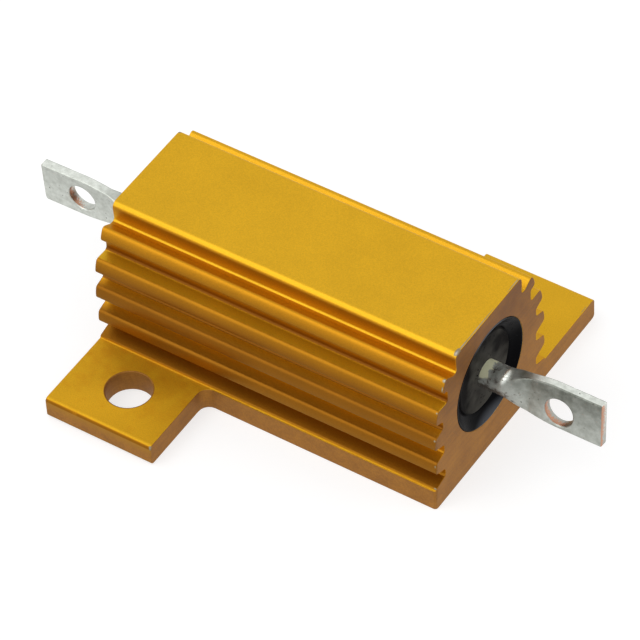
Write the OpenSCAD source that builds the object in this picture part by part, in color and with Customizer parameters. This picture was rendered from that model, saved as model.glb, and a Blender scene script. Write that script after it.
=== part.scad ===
// Aluminium housed wirewound power resistor.
// A ceramic rod, wound with resistance wire between two pressed caps, is moulded into the
// bore of a finned extrusion that bolts down by two tabs at opposite corners.
// X runs along the resistor, Z is up, and the origin is the middle of the mounting face.

/* [Housing] */
// Length of the sawn extrusion
body_length = 27.2; // [24:0.1:36]
// Width over the two mounting tabs
tab_span = 27; // [25:0.1:32]
// Width of the base between its milled sides
base_width = 14.1; // [14.1:0.1:16]
// Height from the mounting face to the top plate
body_height = 12.45; // [12.2:0.05:15]
// Width of the flat top plate
top_width = 8.3; // [7.8:0.1:9]
// Thickness of the tabs
tab_thickness = 1.8; // [1.2:0.05:1.9]
// Length of each tab along the body
tab_length = 8.65; // [7.5:0.05:11]
// Rounding of the base's outer edges
edge_round = 0.3; // [0.1:0.05:0.5]
// Rounding of the top plate's edges
plate_round = 0.45; // [0.1:0.05:0.5]
// Rounding left by the cutter inside each tab's corner
cutter_round = 0.8; // [0.3:0.1:2]
// Rounding of the upright corners
corner_round = 0.25; // [0.1:0.05:0.4]

/* [Mounting holes] */
// Distance between the holes along the body
hole_spacing_x = 18.3; // [17:0.05:19.5]
// Distance between the holes across the body
hole_spacing_y = 19.8; // [19:0.05:21]
// Diameter of the holes
hole_diameter = 3.3; // [2.5:0.05:3.6]

/* [Fins] */
// Height of the lowest fin's tip
fin_height = 3.89; // [3.85:0.01:4]
// Height from one fin to the next
fin_pitch = 2.28; // [2.2:0.01:2.3]
// How far each fin sits above its even place, lowest first
fin_lift = [0, 0.09, 0.13, 0.08]; // [0:0.01:0.15]
// Height of each fin's blunt tip
fin_tip = [0.97, 1.02, 1.1, 1.14]; // [0.8:0.01:1.15]
// Reach of each fin from the middle
fin_reach = [6.88, 6.90, 6.70, 5.79]; // [5:0.01:6.97]
// How far each tip leans back at its upper corner
fin_rake = [0.08, 0.12, 0.28, 0.4]; // [0:0.01:0.4]
// How far the middle of each tip stands proud of its corners
fin_crown = 0.07; // [0.02:0.01:0.08]
// Rise of each fin's upper side from tip to root
fin_rise = [0.28, 0.26, -0.05, -0.52]; // [-0.6:0.01:0.3]
// Drop of each fin's underside from tip to root
fin_drop = [0.44, 0.35, 0.32, 0.12]; // [0:0.01:0.6]
// Reach of each groove's wall, lowest first, ending with the one under the top plate
groove_reach = [5.78, 5.82, 5.88, 5.22, 4.5]; // [4.5:0.01:6]
// Reach of the top plate's neck
neck_reach = 4.07; // [3.8:0.01:4.1]
// Rounding of a fin's tip
tip_round = 0.27; // [0.1:0.01:0.3]
// Rounding of a groove's corners
root_round = 0.24; // [0.1:0.01:0.28]

/* [Foot] */
// Reach of the foot where it meets the tab
foot_reach = 6.95; // [6.7:0.05:7.05]
// Height of the foot's ridge above the mounting face
foot_ridge = 2; // [1.95:0.01:2.1]
// Height of the foot where it meets the lowest groove
foot_height = 2.3; // [2.2:0.01:2.4]

/* [Bore and moulding] */
// Diameter of the bore
bore_diameter = 8.3; // [7.5:0.1:8.8]
// Height of the bore's axis
bore_height = 6.8; // [6.6:0.05:7]
// Width of the moulding's rim at each end
rim_width = 0.12; // [0.05:0.01:0.4]
// Depth of the dish in each end of the moulding
dish_depth = 0.5; // [0.2:0.05:1.5]
// Diameter of the dish's flat floor
dish_floor = 6.2; // [4:0.1:6.8]

/* [Resistance element] */
// Diameter of the ceramic rod
core_diameter = 4.6; // [4:0.1:5]
// Length of the ceramic rod
core_length = 17; // [16:0.1:20]
// Wall of the pressed end caps
cap_wall = 0.4; // [0.2:0.05:0.5]
// Length of a cap's skirt over the rod
cap_skirt = 2.2; // [1.8:0.1:3]
// Diameter of the resistance wire
wire_diameter = 0.5; // [0.3:0.05:0.6]
// Distance from one turn of wire to the next
wire_pitch = 1.4; // [1.2:0.05:2]
// Length of wire laid on each cap, measured along the rod
wire_landing = 1; // [0.6:0.1:1.2]

/* [Terminals] */
// Diameter of the round lead
lead_diameter = 2; // [1.6:0.05:2.4]
// Reach of each blade's end from the middle, left then right
terminal_reach = [22.56, 22.33]; // [22:0.01:30]
// Thickness of the flattened blade
blade_thickness = 0.7; // [0.5:0.05:0.9]
// Width of the blade at its hole
blade_width = 3.46; // [3.2:0.01:4]
// Diameter of the hole in each blade
eye_diameter = 2.2; // [1.8:0.05:2.4]
// Distance from each blade's end to the centre of its hole
eye_offset = [3.27, 3.2]; // [2.8:0.01:3.6]
// Length of the blade's parallel part
blade_parallel = 3.4; // [3:0.1:4]
// Length over which the pressed blade widens
blade_flare = 2; // [1.5:0.1:3]
// Length over which the round lead is pressed flat
press_length = 2.2; // [1.6:0.1:3]
// Lean of each blade's upper edge to the rear, left then right, in degrees
blade_lean = [-2.2, 7.5]; // [-10:0.1:10]
// Droop of each blade, in degrees
blade_droop = [1.2, 0]; // [-5:0.1:5]
// How far each hole was punched below the blade's middle
eye_drop = [0.05, 0.38]; // [-0.4:0.01:0.4]
// Slope of each sheared end, in degrees
end_slope = [-1.3, -3]; // [-6:0.1:6]

/* [Hidden] */

$fn = 64;
cut = 1;                    // how far a cutter runs past the metal
seam = 0.02;                // how far one joined form is sunk below the next
arc_steps = 5;              // straight steps in a rounded corner
crown_round = 2;            // radius along the crown of a fin's tip
ridge_round = 0.08;         // rounding along the foot's ridge
ridge_width = 0.05;         // how far the ridge stands back from the foot's edge

// Resistance element
core_radius = core_diameter / 2;
cap_radius = core_radius + cap_wall;
cap_inner_end = core_length / 2 - cap_skirt;
cap_outer_end = core_length / 2 + cap_wall;
wire_radius = wire_diameter / 2;
wire_steps = 20;            // straight steps in a turn of wire
wire_sides = 8;             // sides of the wire's section
wire_lay = 1 / cos(180 / wire_steps);   // keeps each straight step outside the rod
wire_end = cap_inner_end + wire_landing;
climb_end = cap_inner_end - wire_radius;
climb_start = climb_end - wire_pitch / 3;
wire_room = 0.05;           // clearance between the wire and the moulding round it

// Terminals
lead_radius = lead_diameter / 2;
flare_end = press_length + blade_flare;     // measured from where the press starts
blade_end = flare_end + blade_parallel;
press_rings = 9;
press_sides = 24;           // a multiple of 8, so that four points fall on the corners
flare_share = 0.32;         // share of the widening that is left to the flare
pressed_width = blade_width - (blade_width - lead_diameter) * flare_share;

// Fin i's tip, counted from the lowest
function fin_z(i) = fin_height + i * fin_pitch + fin_lift[i];

function unit(v) = v / norm(v);

// Points of an arc of the given radius in the corner at p, between its neighbours a and b
function corner_arc(a, p, b, radius) =
    let (
        u = unit(a - p),
        v = unit(b - p),
        half = acos(u * v) / 2,
        reach = min(radius / tan(half), norm(a - p) / 2, norm(b - p) / 2),
        centre = p + unit(u + v) * reach / cos(half),
        from = p + u * reach - centre,
        to = p + v * reach - centre,
        turn = 180 - 2 * half
    )
    [for (i = [0:arc_steps])
        let (t = i / arc_steps)
        centre + (from * sin((1 - t) * turn) + to * sin(t * turn)) / sin(turn)];

// Closed outline through corners of the form [x, y, radius]
function rounded(corners) =
    let (n = len(corners), points = [for (c = corners) [c[0], c[1]]])
    [for (i = [0:n - 1])
        each corner_arc(points[(i + n - 1) % n], points[i], points[(i + 1) % n], corners[i][2])];

function mirrored(corners) = [for (i = [len(corners) - 1:-1:0]) [-corners[i][0], corners[i][1], corners[i][2]]];

// Smooth step from 0 to 1 as x goes from a to b
function ease(x, a, b) = let (t = max(0, min(1, (x - a) / (b - a)))) t * t * (3 - 2 * t);

// Fin i with the groove corners on either side of it, from the bottom up
function fin_corners(i) = [
    [groove_reach[i], fin_z(i) - fin_tip[i] / 2 - fin_drop[i], root_round],
    [fin_reach[i], fin_z(i) - fin_tip[i] / 2, tip_round],
    [fin_reach[i] - fin_rake[i] / 2 + fin_crown, fin_z(i), crown_round],
    [fin_reach[i] - fin_rake[i], fin_z(i) + fin_tip[i] / 2, tip_round],
    [groove_reach[i + 1], fin_z(i) + fin_tip[i] / 2 + fin_rise[i], root_round]
];

// Right side of the extruded section, from the mounting face to the top plate
function side_corners() =
    let (last = len(fin_reach) - 1, floor_z = fin_z(last) + fin_tip[last] / 2 + fin_rise[last])
    [
        [tab_span / 2, 0, edge_round],
        [tab_span / 2, tab_thickness, edge_round],
        [foot_reach, tab_thickness, ridge_round],
        [foot_reach - ridge_width, foot_ridge, ridge_round],
        [groove_reach[0], foot_height, root_round],
        for (i = [0:last]) each fin_corners(i),
        [neck_reach, floor_z, root_round],
        [top_width / 2, body_height, plate_round]
    ];

module along_x() {
    rotate([90, 0, 90]) children();
}

// Round bar on the bore's axis, from one x to another
module bar(radius, from, to) {
    translate([from, 0, bore_height]) rotate([0, 90, 0]) cylinder(h = to - from, r = radius);
}

// The extrusion before it is milled: finned on both sides, with a full-length flange
module extrusion() {
    right = side_corners();
    along_x()
        linear_extrude(height = body_length + 2 * cut, center = true)
            polygon(rounded(concat(right, mirrored(right))));
}

// Plan of the finished housing: sawn ends, and all but one tab of each flange milled away
module plan() {
    end = body_length / 2;
    tab = end - tab_length;
    side = base_width / 2;
    outer = tab_span / 2 + cut;
    half = [
        [-end, -outer, 0.01],
        [-tab, -outer, 0.01],
        [-tab, -side, cutter_round],
        [end, -side, corner_round]
    ];
    translate([0, 0, -cut])
        linear_extrude(height = body_height + 2 * cut)
            polygon(rounded(concat(half, [for (c = half) [-c[0], -c[1], c[2]]])));
}

module mounting_holes() {
    for (side = [-1, 1])
        translate([side * hole_spacing_x / 2, side * hole_spacing_y / 2, -cut])
            cylinder(h = tab_thickness + 2 * cut, d = hole_diameter);
}

module housing() {
    color([0.84, 0.64, 0.14])
        difference() {
            intersection() {
                extrusion();
                plan();
            }
            mounting_holes();
            bar(bore_diameter / 2, -body_length / 2 - cut, body_length / 2 + cut);
        }
}

// Hollow of the moulding round the wire, which steps up where the wire climbs onto the caps
module winding_space() {
    bar(core_radius * wire_lay + wire_diameter + wire_room, -climb_start, climb_start);
    for (side = [0, 1])
        mirror([side, 0, 0])
            bar(cap_radius * wire_lay + wire_diameter + wire_room, climb_start,
                wire_end + wire_radius + wire_room);
}

// Dished end of the moulding, opening at the housing's sawn end
module dish() {
    translate([body_length / 2 - dish_depth, 0, bore_height])
        rotate([0, 90, 0])
            cylinder(h = dish_depth, d1 = dish_floor, d2 = bore_diameter - 2 * rim_width);
}

module moulding() {
    color([0.13, 0.13, 0.14])
        difference() {
            bar(bore_diameter / 2, -body_length / 2, body_length / 2);
            bar(core_radius, -core_length / 2, core_length / 2);
            winding_space();
            for (side = [0, 1])
                mirror([side, 0, 0]) {
                    dish();
                    bar(cap_radius, cap_inner_end, cap_outer_end);
                    bar(lead_radius, cap_outer_end, body_length / 2);
                }
        }
}

module ceramic_core() {
    color([0.93, 0.92, 0.88]) bar(core_radius, -core_length / 2, core_length / 2);
}

// Cap pressed over the right end of the rod
module end_cap() {
    difference() {
        bar(cap_radius, cap_inner_end, cap_outer_end);
        bar(core_radius, cap_inner_end - cut, core_length / 2);
    }
}

module end_cap_left() {
    color([0.72, 0.72, 0.70]) mirror([1, 0, 0]) end_cap();
}

module end_cap_right() {
    color([0.72, 0.72, 0.70]) end_cap();
}

// Radius of the wire's middle at x: it lies on the rod, and climbs onto a cap's skirt at each end
function wire_path_radius(x) =
    (core_radius + cap_wall * ease(abs(x), climb_start, climb_end)) * wire_lay + wire_radius;

function wire_ring(x) =
    let (angle = 360 * x / wire_pitch, middle = wire_path_radius(x))
    [for (k = [0:wire_sides - 1])
        let (
            a = 360 * (k + 0.5) / wire_sides,
            r = middle + wire_radius * cos(a)
        )
        [x + wire_radius * sin(a), r * cos(angle), bore_height + r * sin(angle)]];

// Solid through a list of rings that each have the same number of points
module swept(rings) {
    n = len(rings[0]);
    last = len(rings) - 1;
    polyhedron(
        points = [for (ring = rings) each ring],
        faces = [
            [for (k = [n - 1:-1:0]) k],
            for (j = [0:last - 1], k = [0:n - 1])
                let (p = j * n + k, q = j * n + (k + 1) % n)
                each [[p, q, p + n], [q, q + n, p + n]],
            [for (k = [0:n - 1]) last * n + k]
        ]
    );
}

module winding() {
    steps = round(2 * wire_end / wire_pitch * wire_steps);
    color([0.62, 0.60, 0.57])
        swept([for (i = [0:steps]) wire_ring(wire_end * (2 * i / steps - 1))]);
}

// Half width of the blade at x along its flare
function blade_half(x) =
    (pressed_width + (blade_width - pressed_width) * sin(90 * (x - press_length) / blade_flare)) / 2;

// Section of the lead at a share s of the press: round at 0, a flat rectangle at 1
function press_ring(s, lean, droop) =
    let (
        q = ease(s, 0, 0.9),
        width = lead_radius + (pressed_width / 2 - lead_radius) * s - seam,
        thickness = lead_radius + (blade_thickness / 2 - lead_radius) * ease(s, 0, 1) - seam,
        run = s * (press_length + 2 * seam)
    )
    [for (k = [0:press_sides - 1])
        let (
            a = 360 * k / press_sides,
            square = [cos(a), sin(a)] / max(abs(cos(a)), abs(sin(a))),
            z = width * (cos(a) * (1 - q) + square[0] * q),
            y = thickness * (sin(a) * (1 - q) + square[1] * q),
            turned = [y * cos(lean * s) + z * sin(lean * s), z * cos(lean * s) - y * sin(lean * s)],
            d = droop * s
        )
        [run * cos(d) + turned[1] * sin(d) - seam, turned[0], turned[1] * cos(d) - run * sin(d)]];

// Flat part of blade i, standing upright with its hole and its sheared end
module blade(i) {
    flare = [for (j = [0:arc_steps * 2]) press_length + blade_flare * j / (arc_steps * 2)];
    half = blade_width / 2;
    slant = half * tan(end_slope[i]);
    outline = concat(
        [for (x = flare) [x, blade_half(x)]],
        [[blade_end + slant, half], [blade_end - slant, -half]],
        [for (j = [len(flare) - 1:-1:0]) [flare[j], -blade_half(flare[j])]]
    );
    rotate([90, 0, 0])
        difference() {
            linear_extrude(height = blade_thickness, center = true) polygon(outline);
            translate([blade_end - eye_offset[i], -eye_drop[i], -cut])
                cylinder(h = blade_thickness + 2 * cut, d = eye_diameter);
        }
}

// A round lead welded to its cap and pressed flat outside the housing, on the right-hand side
// with the hand trimming of side i: 0 for the left terminal, 1 for the right
module terminal(i) {
    press_start = terminal_reach[i] - blade_end;
    bar(lead_radius, cap_outer_end, press_start);
    translate([press_start, 0, bore_height]) {
        swept([for (j = [0:press_rings]) press_ring(j / press_rings, blade_lean[i], blade_droop[i])]);
        rotate([0, blade_droop[i], 0]) rotate([-blade_lean[i], 0, 0]) blade(i);
    }
}

module terminal_left() {
    color([0.74, 0.75, 0.73]) mirror([1, 0, 0]) terminal(0);
}

module terminal_right() {
    color([0.74, 0.75, 0.73]) terminal(1);
}

housing();
moulding();
ceramic_core();
winding();
end_cap_left();
end_cap_right();
terminal_left();
terminal_right();
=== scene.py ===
# Finishes and studio for an aluminium housed power resistor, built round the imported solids.
# Dictionaries hold millimetres and degrees, meshes hold metres.
import math
from functools import partial

import bmesh
import bpy
from mathutils import Matrix, Vector, noise


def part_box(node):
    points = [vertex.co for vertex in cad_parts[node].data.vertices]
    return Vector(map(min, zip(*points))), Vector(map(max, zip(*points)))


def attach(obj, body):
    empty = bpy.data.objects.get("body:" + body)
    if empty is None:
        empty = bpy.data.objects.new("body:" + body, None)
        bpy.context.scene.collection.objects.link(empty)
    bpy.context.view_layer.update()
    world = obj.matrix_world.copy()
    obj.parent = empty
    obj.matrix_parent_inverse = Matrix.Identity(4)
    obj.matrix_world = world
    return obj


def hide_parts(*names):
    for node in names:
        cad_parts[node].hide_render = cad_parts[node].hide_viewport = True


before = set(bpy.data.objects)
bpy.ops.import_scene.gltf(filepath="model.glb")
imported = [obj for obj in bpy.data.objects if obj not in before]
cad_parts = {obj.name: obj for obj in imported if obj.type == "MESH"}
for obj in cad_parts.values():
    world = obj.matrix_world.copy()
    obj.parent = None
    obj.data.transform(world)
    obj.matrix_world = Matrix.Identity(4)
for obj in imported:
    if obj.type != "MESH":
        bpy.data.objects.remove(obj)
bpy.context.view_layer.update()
mm = 0.001

bodyEnd, tabReach, plateTop = (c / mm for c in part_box("housing")[1])
mouldingLow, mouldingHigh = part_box("moulding")
boreRadius = (mouldingHigh.z - mouldingLow.z) / 2 / mm
boreHeight = (mouldingHigh.z + mouldingLow.z) / 2 / mm
capLow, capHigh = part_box("end_cap_right")
capRadius = (capHigh.z - capLow.z) / 2 / mm
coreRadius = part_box("ceramic_core")[1].z / mm - boreHeight


def linear(hexColour):
    channels = [int(hexColour[i:i + 2], 16) / 255 for i in (1, 3, 5)]
    curved = [c / 12.92 if c <= 0.04045 else ((c + 0.055) / 1.055) ** 2.4 for c in channels]
    return (*curved, 1)


def addNode(tree, kind, settings=None, *given):
    # settings are properties, sockets by name or a colour ramp's stops, and given fills the first sockets;
    # a value that is a node or a socket is linked
    node = tree.nodes.new(kind)
    values = list(zip(node.inputs, given))
    for key, value in (settings or {}).items():
        if key == "stops":
            ramp = node.color_ramp.elements
            while len(ramp) < len(value):
                ramp.new(0.5)
            for stop, (position, tone) in zip(ramp, value):
                stop.position = position
                stop.color = linear(tone) if isinstance(tone, str) else (tone, tone, tone, 1)
        elif hasattr(node, key):
            setattr(node, key, value)
        else:
            values.append((next(s for s in node.inputs if s.enabled and s.name == key), value))
    for socket, value in values:
        if isinstance(value, str) and value.startswith("#"):
            value = linear(value)
        if isinstance(value, bpy.types.Node):
            value = next(s for s in value.outputs if s.enabled)
        if isinstance(value, bpy.types.NodeSocket):
            tree.links.new(socket, value)
        else:
            socket.default_value = value
    return node


def perMm(size):
    # noise scale whose features are about this many millimetres wide
    return 1 / (size * mm)


def between(start, stop, unit=mm):
    # a map range that rises from one place to the other
    return {"From Min": start * unit, "From Max": stop * unit}


def newMaterial(dress, noises, name=None):
    # dress adds nodes round these noises, each of a size, detail and roughness, and returns the shader
    material = bpy.data.materials.new(name or dress.__name__)
    material.use_nodes = True
    material.node_tree.nodes.clear()
    add = partial(addNode, material.node_tree)
    place = add("ShaderNodeTexCoord").outputs["Object"]
    grains = {label: add("ShaderNodeTexNoise", {
        "Scale": perMm(size), "Detail": detail, "Roughness": roughness, "Vector": place})
        for label, (size, detail, roughness) in noises.items()}
    add("ShaderNodeOutputMaterial", {"Surface": dress(add, place, **grains)})
    return material


def newPiece(name, mesh):
    piece = bpy.data.objects.new(name, mesh)
    bpy.context.scene.collection.objects.link(piece)
    return piece


def mergedCopy(node, name):
    # the solid's mesh with its loose triangles joined and its flats made whole again
    piece = newPiece(name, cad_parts[node].data.copy())
    piece.data.materials.clear()
    shape = bmesh.new()
    shape.from_mesh(piece.data)
    bmesh.ops.remove_doubles(shape, verts=shape.verts, dist=0.001 * mm)
    bmesh.ops.dissolve_limit(shape, angle_limit=math.radians(0.5), verts=shape.verts, edges=shape.edges)
    shape.to_mesh(piece.data)
    shape.free()
    return piece


def ringMesh(name, rings, closed=False):
    # quads between rings of points, which end in two caps or run round into themselves
    shape = bmesh.new()
    rings = [[shape.verts.new(point) for point in ring] for ring in rings]
    for low, high in zip(rings, rings[1:] + (rings[:1] if closed else [])):
        for k in range(len(low)):
            n = (k + 1) % len(low)
            shape.faces.new((low[k], low[n], high[n], high[k]))
    if not closed:
        shape.faces.new(rings[0])
        shape.faces.new(rings[-1])
    bmesh.ops.recalc_face_normals(shape, faces=shape.faces)
    mesh = bpy.data.meshes.new(name)
    shape.to_mesh(mesh)
    shape.free()
    return mesh


def bake(piece):
    # the modifiers' result becomes the piece's own mesh
    evaluated = piece.evaluated_get(bpy.context.evaluated_depsgraph_get())
    mesh = bpy.data.meshes.new_from_object(evaluated)
    piece.modifiers.clear()
    piece.data = mesh


def smoothOver(piece, angle):
    # smooth shading up to this angle, with flat faces kept flat in it
    piece.data.shade_smooth()
    piece.data.set_sharp_from_angle(angle=math.radians(angle))
    weighted = piece.modifiers.new("flatShading", "WEIGHTED_NORMAL")
    weighted.keep_sharp = True
    weighted.weight = 100
    bake(piece)


def breakEdges(piece, width):
    # a small bevel on every sharp edge
    bevel = piece.modifiers.new("brokenEdge", "BEVEL")
    bevel.width = width * mm
    bevel.segments = 2
    bevel.limit_method = "ANGLE"
    bevel.angle_limit = math.radians(35)
    bevel.use_clamp_overlap = False
    bake(piece)
    smoothOver(piece, 50)


def newTree(name, sockets):
    # Geometry Nodes with these inputs
    tree = bpy.data.node_groups.new(name, "GeometryNodeTree")
    for label, kind in sockets.items():
        tree.interface.new_socket(label, in_out="INPUT", socket_type="NodeSocket" + kind)
    tree.interface.new_socket("Geometry", in_out="OUTPUT", socket_type="NodeSocketGeometry")
    add = partial(addNode, tree)
    return tree, add, add("NodeGroupInput").outputs


def endTree(add, geometry, material):
    real = add("GeometryNodeRealizeInstances", {"Geometry": geometry})
    finished = add("GeometryNodeSetMaterial", {"Material": material, "Geometry": real})
    add("NodeGroupOutput", {"Geometry": finished})


def runTree(piece, tree, inputs):
    # inputs by the sockets' names, set by their identifiers
    grown = piece.modifiers.new(tree.name, "NODES")
    grown.node_group = tree
    for item in tree.interface.items_tree:
        if item.in_out == "INPUT" and item.name in inputs:
            grown[item.identifier] = inputs[item.name]
    bake(piece)


def standFor(piece, node):
    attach(piece, "root")
    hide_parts(node)


def ease(value, start, stop):
    t = max(0, min(1, (value - start) / (stop - start)))
    return t * t * (3 - 2 * t)


def arcPoints(cx, cy, radius, start, stop, steps):
    angles = [math.radians(start + (stop - start) * i / steps) for i in range(steps + 1)]
    return [(cx + radius * math.cos(a), cy + radius * math.sin(a)) for a in angles]


# housing
housing = {
    "edgeBreak": 0.05,
    "baseSide": 7.05,          # half width of the milled base
    "millTop": 2.05,
    "holeX": 9.15,
    "holeY": 9.9,
    "holeRadius": 1.65,
    "rimBreak": 0.04,          # how much wider the holes' rims are broken
    "fins": [
        # from the lowest up: tip's low and high, reach, how far its top leans back, groove's reach above it
        (3.41, 4.37, 6.88, 0.08, 5.82),
        (5.75, 6.77, 6.90, 0.12, 5.88),
        (8.03, 9.13, 6.70, 0.28, 5.22),
        (10.24, 11.38, 5.79, 0.40, 4.07),
    ],
    # painted shade laid into the gold's colour, from 0 to 1
    "finPaintedShade": [
        # low and high on the tip, on the fin's upper side, in the fillet behind it
        (0.76, 0.76, 0.10, 0.40),
        (0.80, 0.78, 0.12, 0.85),
        (0.88, 0.54, 0.0, 0.90),
        (0.78, 0.22, 0.38, 0.0),
    ],
    "groovePaintedShade": 0.46,
    "neckPaintedShade": 0.0,
    "plateEdgePaintedShade": 0.45,
    "footPaintedShade": 0.72,
    "rimPaintedShade": 0.7,             # on the rounded edges of the base
    "rearShare": 0.15,         # the painted shade is lighter on the rear rack
    "paintedShadeTones": ((0, "#E2AE22"), (0.2, "#D19016"), (1, "#632D02")),
    "amberColour": "#D19016",
    "sheenColour": "#FFEFB8",  # the dye warms even a glancing reflection
    "noises": {"grain": (0.09, 3, 0.6), "cloud": (3.5, 2, 0.5), "spots": (0.7, 4, 0.5),
               "ragged": (0.25, 4, 0.5)},
    "dieLineSize": 0.16,
    "grainTones": ((0.3, 0.78), (0.72, 1.0)),
    "cloudTones": ((0.35, 0.93), (0.7, 1.0)),
    "blotchShares": ((0.56, 0.0), (1.0, 0.7)),
    "tabTop": (1.0, 2.1, 2.3),  # heights where the front tab's own finish starts, fades and ends
    "tabFrom": -6.9,
    "paintedFinReflection": (-12.5, -7.5, 0.3),  # a painted reflection of the fins: more amber between these places, by up to this much
    "roughness": (0.32, 0.48),
    "tabRoughness": 0.22,      # added on the front tab's top
    "metallic": 0.75,
    "sawnTones": ((0.1, "#774B24"), (0.75, "#AA752F")),
    "sawnNoises": {"grain": (0.12, 3, 0.5), "patches": (1.4, 3, 0.5), "ragged": (0.25, 4, 0.5)},
    "sawPitch": 0.22,
    "sawTurn": 24,
    "paler": (11, 3, 0.38),    # from this height down to this one, by up to this much
    "streakTones": ((0.6, 0.78), (0.9, 1.0)),
    "gildedColour": "#A5761A",
    "gildedRise": (0.7, 1.7),
    "sawnRoughness": (0.5, 0.7),
    "sawnMetallic": 0.8,
    "relief": 0.01,
    "greyedColour": "#8F8064",
    "bareColour": "#A9A9AB",
}

wearSpots = [
    # where the anodising is rubbed through: middle and half lengths along x, y and z
    ((13.48, -3.75, 12.38), (0.2, 0.5, 0.2)),
    ((13.5, -3.1, 12.45), (0.06, 0.9, 0.05)),
    ((13.5, -1.2, 12.45), (0.04, 2.6, 0.03)),
    ((13.5, 3.4, 12.45), (0.04, 1.2, 0.03)),
    ((13.5, -5.45, 11.25), (0.16, 0.22, 0.16)),
    ((13.5, -5.7, 10.7), (0.06, 0.08, 0.55)),
    ((13.5, -6.5, 9.05), (0.11, 0.13, 0.10)),
    ((13.5, -6.85, 6.65), (0.10, 0.12, 0.12)),
    ((13.5, -6.9, 4.2), (0.10, 0.10, 0.22)),
    ((13.5, -6.95, 2.0), (0.22, 0.12, 0.12)),
    ((-4.95, -13.5, 1.7), (0.2, 0.2, 0.3)),
    ((-4.95, -12.4, 1.82), (0.04, 0.8, 0.03)),
    ((13.5, 13.5, 1.5), (0.16, 0.2, 0.6)),
    ((13.5, 12.2, 1.82), (0.04, 1.1, 0.03)),
    ((3.2, -6.86, 6.75), (0.14, 0.10, 0.07)),
    ((6.1, -6.86, 4.35), (0.12, 0.10, 0.07)),
    ((-13.5, -4.1, 12.4), (0.12, 0.2, 0.12)),
    ((-13.5, 4.0, 12.4), (0.12, 0.4, 0.12)),
    ((-13.5, 5.6, 11.1), (0.12, 0.14, 0.16)),
    ((4.95, 13.5, 1.8), (0.12, 0.14, 0.14)),
]


def wornAway(add, place, ragged, most):
    # knocked corners: how much bare metal shows, with a ragged outline, and how far inside the spot it is
    worn = 0.0
    for middle, halves in wearSpots:
        fromMiddle = add("ShaderNodeVectorMath", {"operation": "SUBTRACT"}, place, [c * mm for c in middle])
        inHalves = add("ShaderNodeVectorMath", {
            "operation": "MULTIPLY"}, fromMiddle, [perMm(h) for h in halves])
        reach = add("ShaderNodeVectorMath", {"operation": "LENGTH"}, inHalves)
        inside = add("ShaderNodeMath", {
            "operation": "SUBTRACT", "use_clamp": True}, 1.0, reach.outputs["Value"])
        worn = add("ShaderNodeMath", {"operation": "MAXIMUM"}, worn, inside)
    torn = add("ShaderNodeMath", {"operation": "MULTIPLY_ADD"}, worn, 1.6, ragged)
    bare = add("ShaderNodeValToRGB", {"stops": ((0.78, 0.0), (0.9, most))}, torn)
    return bare, worn


def anodisedExtrusion(add, place, grain, cloud, spots, ragged):
    # gold anodised aluminium, etched matt before the dye: a soft metal sheen with fine sparkle, with painted
    # shade and a painted reflection laid into its colour
    split = add("ShaderNodeSeparateXYZ", {}, place).outputs
    stretched = add("ShaderNodeMapping", {"Scale": (0.02, 1.0, 1.0), "Vector": place})
    dieLines = add("ShaderNodeTexNoise", {"Scale": perMm(housing["dieLineSize"]), "Vector": stretched})

    # painted shade: the gold darkens in the rack's grooves and on some edges, and most low on the fins' tips
    depth = add("ShaderNodeAttribute", {"attribute_name": "dye"})
    paintedShadeColour = add("ShaderNodeValToRGB", {"stops": housing["paintedShadeTones"]}, depth.outputs["Fac"])
    tint = add("ShaderNodeValToRGB", {"stops": housing["cloudTones"]}, cloud)
    tinted = add("ShaderNodeMix", {
        "data_type": "RGBA", "blend_type": "MULTIPLY", "Factor": 1.0, "A": paintedShadeColour, "B": tint})

    # the front tab's top is matter, with amber in blotches that grow towards the rack as a painted
    # reflection of the fins
    start, fade, end = housing["tabTop"]
    low = add("ShaderNodeMapRange", {**between(end, fade), "Value": split["Z"]})
    raised = add("ShaderNodeMath", {"operation": "GREATER_THAN"}, split["Z"], start * mm)
    inFront = add("ShaderNodeMath", {"operation": "LESS_THAN"}, split["Y"], housing["tabFrom"] * mm)
    above = add("ShaderNodeMath", {"operation": "MULTIPLY"}, inFront, raised)
    onTab = add("ShaderNodeMath", {"operation": "MULTIPLY"}, low, above)
    outside, inside, most = housing["paintedFinReflection"]
    inner = add("ShaderNodeMapRange", {**between(outside, inside), "To Max": most, "Value": split["Y"]})
    blotched = add("ShaderNodeMath", {"operation": "ADD"}, spots, inner)
    blotches = add("ShaderNodeValToRGB", {"stops": housing["blotchShares"]}, blotched)
    amberShare = add("ShaderNodeMath", {"operation": "MULTIPLY"}, onTab, blotches)
    ambered = add("ShaderNodeMix", {
        "data_type": "RGBA", "Factor": amberShare, "A": tinted, "B": housing["amberColour"]})
    speckle = add("ShaderNodeValToRGB", {"stops": housing["grainTones"]}, grain)
    speckled = add("ShaderNodeMix", {
        "data_type": "RGBA", "blend_type": "MULTIPLY", "Factor": 1.0, "A": ambered, "B": speckle})

    bare, worn = wornAway(add, place, ragged, 1.0)
    metal = add("ShaderNodeValToRGB", {
        "stops": ((0.5, housing["greyedColour"]), (0.85, housing["bareColour"]))}, worn)
    surface = add("ShaderNodeMix", {"data_type": "RGBA", "Factor": bare, "A": speckled, "B": metal})
    smoothest, roughest = housing["roughness"]
    sheen = add("ShaderNodeMapRange", {"To Min": smoothest, "To Max": roughest, "Value": grain})
    rough = add("ShaderNodeMath", {"operation": "MULTIPLY_ADD"}, onTab, housing["tabRoughness"], sheen)
    height = add("ShaderNodeMath", {"operation": "MULTIPLY_ADD"}, dieLines, 0.5, grain)
    bump = add("ShaderNodeBump", {"Strength": 0.25, "Distance": housing["relief"] * mm, "Height": height})
    return add("ShaderNodeBsdfPrincipled", {
        "Metallic": housing["metallic"], "Specular Tint": housing["sheenColour"], "Base Color": surface,
        "Roughness": rough, "Normal": bump})


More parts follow.
